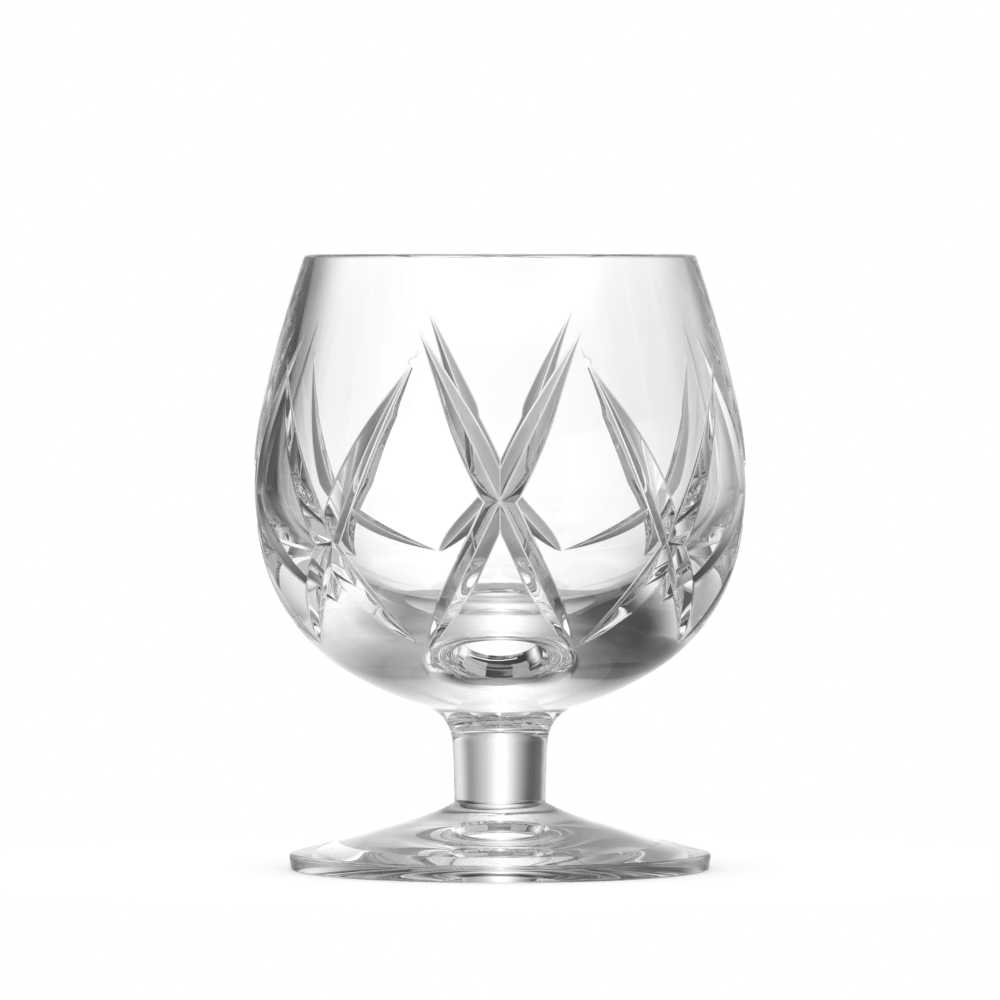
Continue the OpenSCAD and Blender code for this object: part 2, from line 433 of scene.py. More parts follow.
    @cached_property
    def foot_skin(self) -> Path:
        """Skin of the foot, from the join over its upper face, its edge and its underside to the axis."""
        top = np.array([self.stem_width / 2, self.foot_height])
        edge = np.array([self.foot_width / 2, self.foot_edge_height])
        slope = math.atan(self.foot_cone_share * (top[1] - edge[1]) / (edge[0] - top[0]))
        out, up = ray(-slope), ray(math.pi / 2 - slope)
        rise, blend = float((top - edge) @ up), self.foot_blend_radius
        blend_end = top - rise * up + math.sqrt(2 * blend * rise - rise * rise) * out
        blend_centre = blend_end + blend * up
        corner, heel = self.foot_corner_radius, self.foot_heel_radius
        corner_centre = edge - np.array([corner, corner * math.tan(math.pi / 4 - slope / 2)])
        lean = math.atan2(self.foot_side_draw, edge[1])
        reach = float(corner_centre @ ray(-lean)) + corner
        heel_centre = np.array([(reach - heel + heel * math.sin(lean)) / math.cos(lean), heel])
        half, deep, soft = self.foot_hollow_width / 2, self.foot_hollow_depth, self.foot_hollow_edge_radius
        dome = (half * half + deep * deep) / (2 * deep)
        dome_centre = np.array([0.0, deep - dome])
        soft_centre = np.array([math.sqrt((dome + soft) ** 2 - (soft - dome_centre[1]) ** 2), soft])
        dome_turn = heading(dome_centre, soft_centre)
        return Path([
            Arc(blend_centre, blend, heading(blend_centre, top), heading(blend_centre, blend_end)),
            Line(blend_end, corner_centre + corner * up),
            Arc(corner_centre, corner, math.pi / 2 - slope, -lean),
            Line(corner_centre + corner * ray(-lean), heel_centre + heel * ray(-lean)),
            Arc(heel_centre, heel, -lean, -math.pi / 2),
            Line(heel_centre - [0.0, heel], soft_centre - [0.0, soft]),
            Arc(soft_centre, soft, -math.pi / 2, dome_turn - math.pi),
            Arc(dome_centre, dome, dome_turn, math.pi / 2),
        ])


@dataclass(frozen=True)
class Wave:
    """Wave in a skin of hand-made glass.

    Args:
        count: number of waves round the axis.
        length: length of a wave down the outline, in millimetres.
        height: its height in millimetres.
        phase: its phase in radians.
    """

    count: int
    length: float
    height: float
    phase: float


@dataclass(frozen=True)
class Skin:
    """Revolved skin of a piece, with the slight unevenness of hand-made glass.

    SWING and STEP are half the distances round and down the skin over which its slope is found.

    Args:
        path: outline that is revolved.
        waves: its unevenness.
    """

    SWING = 0.0005
    STEP = 0.02

    path: Path
    waves: tuple[Wave, ...] = ()

    def depth(self, turn: Array, along: Array) -> Array:
        """Depth of the finished glass under the even skin, which is never negative.

        Args:
            turn: angles round the axis.
            along: distances down the outline.

        Returns:
            The depths in millimetres, from all waves together.
        """
        total = np.zeros(np.broadcast(turn, along).shape)
        for wave in self.waves:
            swing = np.sin(wave.count * turn + math.tau * along / wave.length + wave.phase)
            total = total + wave.height * (1 + swing) / 2
        return total

    def plain(self, turn: Array | float, along: Array | float) -> tuple[Array, Array]:
        """Points and normals of the even skin in space."""
        points, normals = self.path.sample(along)
        return spun(points, turn), spun(normals, turn)

    def points(self, turn: Array, along: Array) -> Array:
        """Points of the finished glass in space."""
        points, normals = self.plain(turn, along)
        return points - self.depth(turn, along)[..., None] * normals

    def facing(self, turn: Array, along: Array) -> Array:
        """Normals of the finished glass, from points a small step apart.

        Args:
            turn: angles round the axis.
            along: distances down the outline.

        Returns:
            The unit normals.
        """
        across = self.points(turn + self.SWING, along) - self.points(turn - self.SWING, along)
        down = self.points(turn, along + self.STEP) - self.points(turn, along - self.STEP)
        return self.path.side.value * unit(np.cross(down, across))


@dataclass(frozen=True)
class Wheel:
    """Path of the cutting wheel's V edge over half a groove: an arc in space, in millimetres.

    The depth of a cut is found in PASSES steps, and LEAST_RATE and LARGEST_DEPTH keep it
    in bounds far from the groove.

    Args:
        centre: centre of the arc's circle.
        axis: unit vector square to its plane.
        start: vector from the centre to the crossing, where the arc starts.
        sweep: angle of the arc, in radians.
        slope: depth of the V for each millimetre from its middle.
        polish: width over which the V's bottom is polished round.
    """

    PASSES = 3
    LEAST_RATE = 0.25
    LARGEST_DEPTH = 4.0

    centre: Array
    axis: Array
    start: Array
    sweep: float
    slope: float
    polish: float

    @cached_property
    def radius(self) -> float:
        """Radius of the arc."""
        return float(np.linalg.norm(self.start))

    def bottom(self, spacing: float) -> Array:
        """Points along the arc, a spacing apart or a little more."""
        angle = np.linspace(0, self.sweep, int(self.radius * self.sweep / spacing) + 1)[:, None]
        return self.centre + np.cos(angle) * self.start + np.sin(angle) * np.cross(self.axis, self.start)

    def cut(self, skin: Array, normal: Array) -> Array:
        """Depth of the cut under points of the skin, negative beside it.

        Args:
            skin: points of the uncut glass.
            normal: unit normals there.

        Returns:
            The depths along the normals.
        """
        depth = np.zeros(skin.shape[:-1])
        for _ in range(self.PASSES):
            spot = skin - depth[..., None] * normal - self.centre
            aside = spot @ self.axis
            flat = spot - aside[..., None] * self.axis
            reach = np.linalg.norm(flat, axis=-1)
            blunt = np.hypot(aside, self.polish)
            gap = reach - self.radius - self.slope * (blunt - self.polish / 2)
            rate = (normal * flat).sum(-1) / reach - self.slope * aside / blunt * (normal @ self.axis)
            deeper = depth + gap / np.maximum(rate, self.LEAST_RATE)
            depth = np.clip(deeper, -self.LARGEST_DEPTH, self.LARGEST_DEPTH)
        return depth


class Kind(IntEnum):
    """Kind of cross, numbered as in the lists of the cut skin."""

    TALL = 0
    SHORT = 1


class Half(IntEnum):
    """Half of a groove, over or under its crossing, numbered as in a pair of wheels."""

    UPPER = 0
    LOWER = 1


@dataclass(frozen=True)
class Cross:
    """Two grooves that cross, each from a top end over the crossing to a bottom end.

    Args:
        top_share: rise of the top ends over the widest point, as a share of the way to the rim.
        middle_share: fall of the crossing under the widest point, as a share of the way to the join.
        end_share: fall of the bottom ends, as a share of the same way.
        spread_share: turn from the crossing to a top end, as a share of that to a bottom end.
    """

    top_share: float
    middle_share: float
    end_share: float
    spread_share: float


@dataclass(frozen=True)
class CutSkin(Skin):
    """Outside of the bowl with its cut pattern of tall and short crosses.

    Heights are sought from FIRST_PART of the outline, the neck, up to END_PART, the throat. STEPS counts
    the steps in which the foot of a perpendicular on the outline is found.
    """

    FIRST_PART, END_PART = 1, 6
    STEPS = 12

    outline: Outline = Outline()
    crosses: int = 4
    tall: Cross = Cross(0.659, 0.063, 0.671, 0.93)
    short: Cross = Cross(0.511, 0.237, 0.661, 0.99)
    groove_angle: float = 115.0
    groove_depth: float = 1.7
    high_mid_depth: float = 1.45
    low_mid_depth: float = 1.65
    polish: float = 0.12
    edge_soft: float = 0.16
    mitre_soft: float = 0.1
    blend: float = 1.2

    @cached_property
    def half_turn(self) -> float:
        """Angle between the middle of a cross and its bottom ends."""
        return math.pi / (2 * self.crosses)

    @cached_property
    def wheels(self) -> list[tuple[Wheel, Wheel]]:
        """Upper and lower wheel of each kind of cross."""
        return [self.cross_wheels(cross) for cross in (self.tall, self.short)]

    @cached_property
    def middles(self) -> list[float]:
        """Distances down the outline to the crossings of each kind."""
        return [self.down_to(self.height(-cross.middle_share)) for cross in (self.tall, self.short)]

    def height(self, share: float) -> float:
        """Height at a share of the way from the widest point to the rim, or to the join if negative."""
        low, level, high = self.outline.join_height, self.outline.belly_height, self.outline.height
        return level + share * (high - level if share > 0 else level - low)

    def down_to(self, height: float) -> float:
        """Distance down the outline to a height on the wall of the bowl."""
        return self.path.at_height(height, self.FIRST_PART, self.END_PART)

    def cross_wheels(self, cross: Cross) -> tuple[Wheel, Wheel]:
        """Upper and lower wheel of a cross.

        Args:
            cross: the cross.

        Returns:
            The wheels for its upper and its lower half.
        """
        middle, turn = self.height(-cross.middle_share), self.half_turn
        top, low = self.height(cross.top_share), self.height(-cross.end_share)
        upper = self.wheel(middle, top, cross.spread_share * turn, self.high_mid_depth)
        return upper, self.wheel(middle, low, turn, self.low_mid_depth)

    def wheel(self, middle: float, end: float, turn: float, halfway: float) -> Wheel:
        """Wheel that cuts from a crossing to one end of a groove.

        Args:
            middle: height of the crossing.
            end: height of the end, where the cut runs out of the glass.
            turn: angle round the axis between the two, in radians.
            halfway: depth of the groove halfway.

        Returns:
            The wheel through the crossing, a point halfway and the end, which stands square to the glass.
        """

        def spot(along: float, angle: float, depth: float) -> Array:
            """Point at a depth under the skin."""
            skin, normal = self.plain(angle, along)
            return skin - depth * normal

        first = spot(self.down_to(middle), 0.0, self.groove_depth)
        last = spot(self.down_to(end), turn, 0.0)
        chord = (first + last) / 2
        inside = np.array([math.hypot(chord[0], chord[1]), chord[2]])
        along = self.down_to(chord[2])
        for _ in range(self.STEPS):
            skin, normal = self.path.sample(along)
            along = along + (inside - skin) @ (normal[1], -normal[0])
        between = spot(along, math.atan2(chord[0], -chord[1]), halfway)
        u, v = between - first, last - first
        w = np.cross(u, v)
        centre = first + (np.cross(w, u) * (v @ v) + np.cross(v, w) * (u @ u)) / (2 * (w @ w))
        start, stop, axis = first - centre, last - centre, unit(w)
        sweep = math.atan2(float(np.cross(start, stop) @ axis), float(start @ stop))
        slope = 1 / math.tan(math.radians(self.groove_angle / 2))
        return Wheel(centre, axis, start, sweep, slope, self.polish)

    def groove(self, kind: Kind, turn: Array, along: Array) -> Array:
        """Depth of the groove that rises to the right through a cross's middle.

        Args:
            kind: kind of the cross.
            turn: angles from the cross's middle.
            along: distances down the outline.

        Returns:
            The depths, negative beside the groove.
        """
        upper, lower = self.wheels[kind]
        share = np.clip((self.middles[kind] - along) / (2 * self.blend) + 0.5, 0, 1)
        share = share * share * (3 - 2 * share)
        up = upper.cut(*self.plain(turn, along))
        down = lower.cut(*self.plain(-turn, along))
        return share * up + (1 - share) * down

    def cross(self, kind: Kind, turn: Array, along: Array) -> Array:
        """Depth of a whole cross at angles from its middle."""
        rising, falling = self.groove(kind, turn, along), self.groove(kind, -turn, along)
        return smooth_max(rising, falling, self.mitre_soft)

    def pattern(self, turn: Array, along: Array) -> Array:
        """Depth of the cut pattern anywhere on the bowl.

        Args:
            turn: angles round the axis.
            along: distances down the outline.

        Returns:
            The depths, which are zero beside the cuts.
        """
        period = 4 * self.half_turn
        local = np.abs((turn + period / 2) % period - period / 2)
        tall, short = self.cross(Kind.TALL, local, along), self.cross(Kind.SHORT, local - period / 2, along)
        return smooth_max(np.zeros_like(tall), smooth_max(tall, short, self.mitre_soft), self.edge_soft)

    def depth(self, turn: Array, along: Array) -> Array:
        """Depth of the finished glass under the even skin, with its cuts."""
        return self.pattern(turn, along) + super().depth(turn, along)


class Tile:
    """Mesh of a tile of the cut zone, from the middle of a tall cross round to that of a short one.

    Points are pairs of the angle from the tall cross in radians and the distance down the outline in
    millimetres, like all sizes here but the counts and shares. SPREAD is the width of a radian, TOP and
    BOTTOM are heights, and COLUMNS counts the columns at the upper and lower border. STATION is the
    spacing along a groove, MITRE along a ridge and FILL elsewhere. The names with CLEAR are least
    distances between points, and those with ASIDE are places beside a ridge, an edge or a bottom line.
    Those with REACH bound a search. A cut counts for the rows in a crossing from the depth DEEP on, for
    those at a border or a low ridge from SHALLOW on, and a groove's rows end where another one is more
    than HIDDEN deeper. SLIP allows for rounding, and points closer than MERGE would become one.
    """

    SPREAD = 44.0
    TOP, BOTTOM = 108.0, 41.0
    COLUMNS = 30
    STATION, MITRE, FILL = 0.4, 0.3, 1.3
    GROOVE_CLEAR, BORDER_CLEAR, BESIDE_CLEAR, FILL_CLEAR = 0.07, 0.1, 0.4, 0.78
    MARGIN_SHARE, LARGEST_CLEAR = 0.6, 0.5
    MITRE_ROWS, MITRE_REACH = 30, 3.0
    UPRIGHT_ASIDE = (0.12, 0.26)
    LEVEL_ASIDE = (0.0, -0.1, 0.1, -0.22, 0.22)
    LOW_ASIDE = (0.0, -0.1, 0.1, -0.24, 0.24)
    LOW_SHARES = (0.3, 0.7)
    EDGE_ASIDE = (-0.14, 0.14, -0.3, 0.3)
    BOTTOM_ASIDE = (0.1, 0.22)
    FACE_ASIDE, BESIDE_ASIDE = 0.1, 0.75
    GROOVE_REACH, GROOVE_TABLE = 4.0, 3000
    DEEP, SHALLOW, HIDDEN = 0.1, 0.02, 0.06
    SLIP, MERGE = 1e-9, 1e-6

    def __init__(self, skin: CutSkin) -> None:
        """Places the points and joins them up.

        Args:
            skin: cut outside of the bowl.
        """
        self.skin = skin
        self.wide = 2 * skin.half_turn
        self.first, self.last = skin.down_to(self.TOP), skin.down_to(self.BOTTOM)
        self.placed: list[tuple[float, float]] = []
        self.cells: dict[tuple[int, int], list[tuple[float, float]]] = {}
        self.place_borders()
        for kind in Kind:
            self.place_mitres(kind)
            for half in Half:
                self.place_groove(kind, half)
        self.place_low_mitre()
        self.place_fill()
        self.spots = np.array(self.placed) / (self.SPREAD, 1.0)
        self.triangles = self.join()

    def place(self, spots: Array, clear: float, pinned: bool = False) -> None:
        """Adds points that lie in the tile and clear of those already there.

        Args:
            spots: angles and distances.
            clear: least distance to another point.
            pinned: whether they lie on the border; the others stay clear of it.
        """
        margin = 0.0 if pinned else min(clear, self.LARGEST_CLEAR) * self.MARGIN_SHARE
        left, right = margin - self.SLIP, self.wide * self.SPREAD - margin + self.SLIP
        upper, lower = self.first + margin - self.SLIP, self.last - margin + self.SLIP
        reach = math.ceil(clear / self.FILL)
        steps = range(-reach, reach + 1)
        for turn, along in spots:
            x, y = float(turn) * self.SPREAD, float(along)
            if not (left <= x <= right and upper <= y <= lower):
                continue
            i, j = int(x // self.FILL), int(y // self.FILL)
            near = (p for di in steps for dj in steps for p in self.cells.get((i + di, j + dj), ()))
            if all(math.dist(p, (x, y)) >= clear for p in near):
                self.placed.append((x, y))
                self.cells.setdefault((i, j), []).append((x, y))

    def local(self, kind: Kind, turn: Array | float) -> Array | float:
        """Angles in the tile from angles counted from a cross's middle, or the other way round."""
        return turn if kind is Kind.TALL else self.wide - turn

    def crossing_rows(self, kind: Kind) -> Array:
        """Closely spaced distances down the outline round a crossing."""
        return self.skin.middles[kind] + self.MITRE * np.arange(-self.MITRE_ROWS, self.MITRE_ROWS + 1)

    def place_borders(self) -> None:
        """Places the points that the tile shares with its neighbours."""
        columns = np.linspace(0, self.wide, self.COLUMNS + 1)
        for along in (self.first, self.last):
            self.place(pairs(columns, along), self.BORDER_CLEAR, True)
        rest = np.linspace(self.first, self.last, int((self.last - self.first) / self.FILL))
        for kind in Kind:
            turn, fine = self.local(kind, 0.0), self.crossing_rows(kind)
            fine = fine[self.skin.pattern(np.full_like(fine, turn), fine) > self.SHALLOW]
            self.place(pairs(turn, fine), self.BORDER_CLEAR, True)
            self.place(pairs(turn, rest), self.FILL_CLEAR, True)

    def place_mitres(self, kind: Kind) -> None:
        """Places points along the upright and the level ridge in a crossing.

        Args:
            kind: kind of the cross.
        """
        skin, middle = self.skin, self.skin.middles[kind]
        radius = skin.path.sample(middle)[0][0]
        rows = self.crossing_rows(kind)
        rows = rows[skin.cross(kind, np.zeros_like(rows), rows) > self.DEEP]
        for aside in self.UPRIGHT_ASIDE:
            self.place(pairs(self.local(kind, aside / radius), rows), self.GROOVE_CLEAR)
        turns = self.MITRE / radius * np.arange(1, self.MITRE_ROWS)
        level = crossover(
            np.full_like(turns, middle - self.MITRE_REACH),
            np.full_like(turns, middle + self.MITRE_REACH),
            lambda along: skin.groove(kind, turns, along) > skin.groove(kind, -turns, along),
        )
        deep = skin.cross(kind, turns, level) > self.DEEP
        for aside in self.LEVEL_ASIDE:
            self.place(pairs(self.local(kind, turns), level + aside)[deep], self.GROOVE_CLEAR)

    def place_low_mitre(self) -> None:
        """Places points along the ridge where a tall and a short groove meet at their bottom ends."""
        skin, wide = self.skin, self.wide
        rows = np.arange(skin.middles[Kind.SHORT], self.last, self.MITRE)
        ridge = crossover(
            *(np.full_like(rows, share * wide) for share in self.LOW_SHARES),
            lambda turn: skin.cross(Kind.TALL, turn, rows) > skin.cross(Kind.SHORT, turn - wide, rows),
        )
        deep = skin.cross(Kind.TALL, ridge, rows) > self.SHALLOW
        for aside in self.LOW_ASIDE:
            self.place(pairs(ridge + aside / self.SPREAD, rows)[deep], self.GROOVE_CLEAR)

    def place_groove(self, kind: Kind, half: Half) -> None:
        """Places rows of points along the bottom, the faces and the edges of half a groove.

        Args:
            kind: kind of the cross.
            half: half of the groove.
        """
        skin, wheel = self.skin, self.skin.wheels[kind][half]
        line = wheel.bottom(self.STATION)
        turn, radius = np.arctan2(line[:, 0], -line[:, 1]), np.hypot(line[:, 0], line[:, 1])
        table = np.linspace(self.first, self.last, self.GROOVE_TABLE)
        flat = skin.path.sample(table)[0]
        gap = (flat[None, :, 0] - radius[:, None]) ** 2 + (flat[None, :, 1] - line[:, 2, None]) ** 2
        along = table[gap.argmin(1)]
        reach = skin.path.sample(along)[0][:, 0]
        run, drop = np.gradient(turn) * reach, np.gradient(along)
        size = np.hypot(run, drop)
        centre, aside = pairs(turn, along), pairs(-drop / size / reach, run / size)

        def own(away: Array) -> Array:
            """Depth of this half groove alone, at distances from its bottom line."""
            spots = centre + away[:, None] * aside
            return wheel.cut(*skin.plain(spots[:, 0], spots[:, 1]))

        zero = np.zeros_like(turn)
        for hand in (-1, 1):
            edge = crossover(zero, zero + self.GROOVE_REACH, lambda away: own(hand * away) > 0)
            rows = [zero, edge, *(edge + step for step in self.EDGE_ASIDE)]
            rows += [*(zero + step for step in self.BOTTOM_ASIDE), edge / 2 + self.FACE_ASIDE]
            clears = [self.GROOVE_CLEAR] * len(rows) + [self.BESIDE_CLEAR]
            for away, clear in zip([*rows, edge + self.BESIDE_ASIDE], clears):
                spots = centre + hand * away[:, None] * aside
                spots = pairs(self.local(kind, spots[:, 0]), spots[:, 1])
                here, deepest = own(hand * away), skin.pattern(spots[:, 0], spots[:, 1])
                seen = np.where(here > 0, here > deepest - self.HIDDEN, deepest < self.HIDDEN)
                self.place(spots[seen & (away >= 0)], clear)

    def place_fill(self) -> None:
        """Fills the rest of the tile with points of even spacing."""
        for k, along in enumerate(np.arange(self.first, self.last, self.FILL * math.sqrt(3) / 2)):
            columns = np.arange(self.FILL / 2 * (k % 2), self.wide * self.SPREAD, self.FILL)
            self.place(pairs(columns / self.SPREAD, along), self.FILL_CLEAR)

    def join(self) -> Array:
        """Joins the points up.

        Returns:
            The triangles, as rows of three indices.
        """
        points = [Vector(p) for p in self.placed]
        _, _, faces, sources, _, _ = delaunay_2d_cdt(points, [], [], 0, self.MERGE)
        return np.array([[sources[i][0] for i in face] for face in faces])


class Slot(Enum):
    """Material of a face of glass, numbered as in the list of a piece's materials."""

    CRYSTAL = 0
    JOIN = 1


class Shell:
    """Closed mesh of one piece, put together from rings, tiles and caps, in millimetres."""

    TILES = 2 * CutSkin.crosses
    COLUMNS = TILES * Tile.COLUMNS

    def __init__(self) -> None:
        """Starts with nothing in it."""
        self.points: list[Array] = []
        self.normals: list[Array] = []
        self.faces: list[tuple[int, ...]] = []
        self.slots: list[int] = []
        self.count = 0

    def add(self, skin: Skin, turn: Array | float, along: Array) -> Array:
        """Adds points of a skin with their normals.

        Args:
            skin: skin they lie on.
            turn: angles round the axis.
            along: distances down the outline.

        Returns:
            The indices of the new points, in the shape of the angles and distances.
        """
        turn, along = np.broadcast_arrays(turn, along)
        self.points.append(skin.points(turn, along).reshape(-1, 3))
        self.normals.append(skin.facing(turn, along).reshape(-1, 3))
        self.count += turn.size
        return np.arange(self.count - turn.size, self.count).reshape(turn.shape)

    def add_faces(self, faces: Array, slot: Slot) -> None:
        """Adds faces with one material."""
        self.faces += [tuple(f) for f in faces.tolist()]
        self.slots += [slot.value] * len(faces)

    def rings(self, skin: Skin, along: Array) -> Array:
        """Adds a ring of points round the axis for each distance down the outline."""
        turn = math.tau * np.arange(self.COLUMNS) / self.COLUMNS
        return self.add(skin, turn[None, :], along[:, None])

    def cover(self, rings: Array, side: Side = Side.LEFT) -> None:
        """Joins rings of points with four-sided faces.

        Args:
            rings: a row of indices for each ring.
            side: side on which the air is, on the way from the first ring to the last.
        """
        a, b = rings[:-1], rings[1:]
        corners = [a, b, np.roll(b, -1, 1), np.roll(a, -1, 1)][:: side.value]
        self.add_faces(np.stack(corners, -1).reshape(-1, 4), Slot.CRYSTAL)

    def close(self, ring: Array, height: float, side: Side, slot: Slot = Slot.CRYSTAL) -> None:
        """Joins a ring of points to a new point on the axis.

        Args:
            ring: indices of the ring's points.
            height: height of the point on the axis.
            side: side on which the air is, on the way from the ring to the point.
            slot: material of the faces.
        """
        pole = self.count
        self.points.append(np.array([[0.0, 0.0, height]]))
        self.normals.append(np.array([[0.0, 0.0, -float(side.value)]]))
        self.count += 1
        corners = [ring, np.full_like(ring, pole), np.roll(ring, -1)][:: side.value]
        self.add_faces(np.stack(corners, -1), slot)

    def add_tiles(self, skin: CutSkin, tile: Tile, top: Array, bottom: Array) -> None:
        """Adds the cut zone, as copies of the tile that mirror each other round the bowl.

        Args:
            skin: cut outside of the bowl.
            tile: mesh from a tall cross round to a short one.
            top: ring of points that the zone hangs from.
            bottom: ring of points that it ends in.
        """
        turn, along = tile.spots[:, 0], tile.spots[:, 1]
        column = np.rint(turn / tile.wide * tile.COLUMNS).astype(int)
        on_top, on_bottom = np.isclose(along, tile.first), np.isclose(along, tile.last)
        ends = on_top | on_bottom
        near, far = np.isclose(turn, 0) & ~ends, np.isclose(turn, tile.wide) & ~ends
        inner = ~(ends | near | far)
        borders = (along[near], along[far])
        edges = [self.add(skin, k * tile.wide, borders[k % 2]) for k in range(self.TILES)]
        for k in range(self.TILES):
            mirrored = k % 2 == 1
            real = (k + 1) * tile.wide - turn if mirrored else k * tile.wide + turn
            place = (k + 1) * tile.COLUMNS - column if mirrored else k * tile.COLUMNS + column
            names = np.empty(len(turn), int)
            names[on_top] = top[place[on_top] % self.COLUMNS]
            names[on_bottom] = bottom[place[on_bottom] % self.COLUMNS]
            names[near] = edges[(k + mirrored) % self.TILES]
            names[far] = edges[(k + (not mirrored)) % self.TILES]
            names[inner] = self.add(skin, real[inner], along[inner])
            faces = names[tile.triangles]
            self.add_faces(faces if mirrored else faces[:, ::-1], Slot.CRYSTAL)

    def build(self, name: str, materials: list[bpy.types.Material]) -> bpy.types.Object:
        """Makes the piece's object.

        Args:
            name: name of the piece.
            materials: finish of the glass and of the faces where pieces are fused.

        Returns:
            The object, linked into the scene.
        """
        mesh = bpy.data.meshes.new(name)
        mesh.from_pydata(np.concatenate(self.points) * MM, [], self.faces)
        for material in materials:
            mesh.materials.append(material)
        mesh.polygons.foreach_set("material_index", self.slots)
        mesh.polygons.foreach_set("use_smooth", [True] * len(self.faces))
        mesh.normals_split_custom_set_from_vertices(np.concatenate(self.normals))
        return link_object(name, mesh)


def link_object(name: str, data: bpy.types.ID) -> bpy.types.Object:
    """Makes an object and links it into the scene.

    Args:
        name: name of the object.
        data: its mesh or camera.

    Returns:
        The object.
    """
    thing = bpy.data.objects.new(name, data)
    bpy.context.scene.collection.objects.link(thing)
    return thing


class Nodes:
    """Short way to write a material's or a world's node tree."""

    def __init__(self, owner: bpy.types.Material | bpy.types.World) -> None:
        """Empties the tree.

        Args:
            owner: material or world that the tree belongs to.
        """
        owner.use_nodes = True
        self.tree = owner.node_tree
        self.tree.nodes.clear()

    def add(self, kind: str, links: dict | None = None, **settings: object) -> bpy.types.Node:
        """Adds a node.

        Args:
            kind: Blender's name of the node.
            links: what goes into its sockets, by name or number: a socket, a number or a colour.
            settings: its properties.

        Returns:
            The node.
        """
        node = self.tree.nodes.new(kind)
        for name, value in settings.items():
            setattr(node, name, value)
        for socket, value in (links or {}).items():
            if isinstance(value, Socket):
                self.tree.links.new(value, node.inputs[socket])
            else:
                node.inputs[socket].default_value = value
        return node

    def show(self, shader: bpy.types.Node, kind: str = "ShaderNodeOutputMaterial") -> None:
        """Makes a shader the surface, of a material or of another kind of output."""
        self.add(kind, {"Surface": shader.outputs[0]})

    def blend(self, share: object, first: bpy.types.Node, second: bpy.types.Node) -> bpy.types.Node:
        """Mix of two shaders, by the share of the second."""
        links = {0: share, 1: first.outputs[0], 2: second.outputs[0]}
        return self.add("ShaderNodeMixShader", links)

    def math(self, operation: str, *values: object) -> Socket:
        """Result of a Math node on sockets and numbers."""
        return self.add("ShaderNodeMath", dict(enumerate(values)), operation=operation).outputs[0]

    def ramp(self, value: object, low: float, high: float) -> Socket:
        """Smooth rise from 0 to 1 while a value goes from low to high."""
        links = {"Value": value, "From Min": low, "From Max": high}
        return self.add("ShaderNodeMapRange", links, interpolation_type="SMOOTHSTEP").outputs[0]

    def mix(self, share: object, a: object, b: object) -> Socket:
        """Number between two others, by a share from 0 to 1."""
        return self.math("MULTIPLY_ADD", share, self.math("SUBTRACT", b, a), a)


def grey(value: float) -> tuple[float, float, float, float]:
    """Colour with no hue."""
    return value, value, value, 1.0


class Finish(ABC):
    """Finish of a surface."""

    @abstractmethod
    def shader(self, nodes: Nodes) -> bpy.types.Node:
        """Adds the nodes of the finish and gives back the last one."""

    def material(self, name: str) -> bpy.types.Material:
        """Makes a material with the finish.

        Args:
            name: name of the material.

        Returns:
            The material.
        """
        material = bpy.data.materials.new(name)
        nodes = Nodes(material)
        nodes.show(self.shader(nodes))
        return material


@dataclass(frozen=True)
class Crystal(Finish):
    """Finish of clear polished lead crystal.

    Args:
        ior: index of refraction.
        clearest: colour of its clearest parts.
        cloudiest: colour of its least clear parts.
        cloud: size of the faint changes between the two, in metres.
        detail: how finely these changes are broken up.
        shade: brightness of the light that it lets through to what stands in its shadow.
    """

    ior: float = 1.52
    clearest: tuple[float, ...] = (1.0, 1.0, 1.0, 1.0)
    cloudiest: tuple[float, ...] = (0.985, 0.99, 0.992, 1.0)
    cloud: float = 0.03
    detail: float = 2.0
    shade: float = 0.97

    def shader(self, nodes: Nodes) -> bpy.types.Node:
        """Adds the nodes of the finish.

        Args:
            nodes: node tree of the material.

        Returns:
            The last node, which is glass for all rays but those that look for a shadow.
        """
        place = nodes.add("ShaderNodeTexCoord").outputs["Object"]
        clouds = {"Vector": place, "Scale": 1 / self.cloud, "Detail": self.detail}
        noise = nodes.add("ShaderNodeTexNoise", clouds)
        # Sockets 6 and 7 of the Mix node are its two colours.
        colours = {0: noise.outputs[0], 6: self.clearest, 7: self.cloudiest}
        tint = nodes.add("ShaderNodeMix", colours, data_type="RGBA").outputs[2]
        body = {"Base Color": tint, "Roughness": 0.0, "IOR": self.ior, "Transmission Weight": 1.0}
        glass = nodes.add("ShaderNodeBsdfPrincipled", body)
        clear = nodes.add("ShaderNodeBsdfTransparent", {"Color": grey(self.shade)})
        shadow = nodes.add("ShaderNodeLightPath").outputs["Is Shadow Ray"]
        return nodes.blend(shadow, glass, clear)


class FusedJoin(Finish):
    """Finish of a face inside the glass where two pieces are fused: nothing of it is seen."""

    def shader(self, nodes: Nodes) -> bpy.types.Node:
        """Adds the one node of the finish."""
        return nodes.add("ShaderNodeBsdfTransparent")


@dataclass(frozen=True)
class WhiteFloor(Finish):
    """Finish of the floor: white paint that shows a shadow near the glass, and plain white farther off.

    Args:
        paint: brightness of the paint.
        near: distance from the axis up to which the floor is paint, in metres.
        far: distance from which it is plain white.
    """

    paint: float = 0.93
    near: float = 0.06
    far: float = 0.12

    def shader(self, nodes: Nodes) -> bpy.types.Node:
        """Adds the nodes of the finish.

        Args:
            nodes: node tree of the material.

        Returns:
            The last node.
        """
        place = nodes.add("ShaderNodeTexCoord").outputs["Object"]
        away = nodes.add("ShaderNodeVectorMath", {0: place}, operation="LENGTH").outputs["Value"]
        paint = nodes.add("ShaderNodeBsdfDiffuse", {"Color": grey(self.paint)})
        glow = nodes.add("ShaderNodeEmission", {"Strength": 1.0})
        return nodes.blend(nodes.ramp(away, self.near, self.far), paint, glow)


